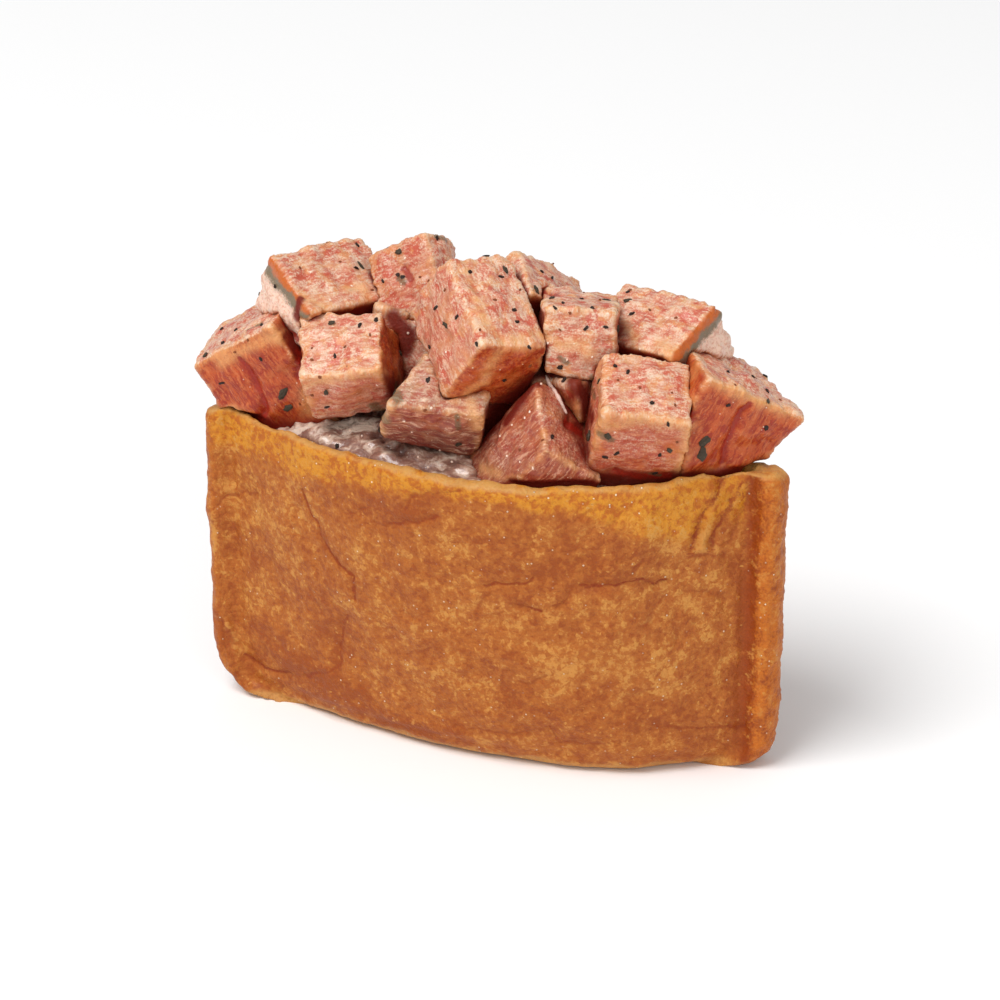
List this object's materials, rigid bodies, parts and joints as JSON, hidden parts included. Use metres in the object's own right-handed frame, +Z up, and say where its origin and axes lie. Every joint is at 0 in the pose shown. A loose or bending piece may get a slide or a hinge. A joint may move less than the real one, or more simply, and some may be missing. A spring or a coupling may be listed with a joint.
{
  "type": "inari sushi",
  "caption": "Open inari sushi: a seasoned fried tofu pouch stood on its closed edge, filled and heaped with peppered raw salmon cubes.",
  "frame": {"origin": "centre of the overall bounding box in plan, on the flat underside of the pouch that the part rests on", "axes": "+X along the pouch's long axis, towards its thicker sealed end; +Y towards the back, so the shown side faces -Y; +Z up"},
  "size_m": [0.0828, 0.034, 0.0674],
  "materials": {
    "tofu_skin": "fried tofu skin, simmered: amber brown, finely pored, moist and slightly glossy",
    "salmon": "raw salmon in a thin dressing: pink to orange red, streaked, wet and glossy, with pepper and herb flakes",
    "dressed_filling": "grey pink fish mixed with a pale creamy dressing, wet and glossy"
  },
  "bodies": {
    "root": {"tofu_pouch": "tofu_skin", "salmon_crown": "salmon", "salmon_front_left": "salmon", "salmon_front_right": "salmon", "salmon_left_end": "salmon", "salmon_right_end": "salmon", "salmon_front_middle": "salmon", "salmon_dressed": "salmon", "salmon_upper_left": "salmon", "salmon_upper_right": "salmon", "salmon_peppered": "salmon", "salmon_top_back": "salmon", "salmon_back_wedge": "salmon", "salmon_inner_right": "salmon", "salmon_inner_middle": "salmon", "salmon_back_left": "salmon", "salmon_back_left_middle": "salmon", "salmon_back_middle": "salmon", "salmon_back_right_middle": "salmon", "salmon_back_right": "salmon", "filling": "dressed_filling"}
  },
  "joints": []
}
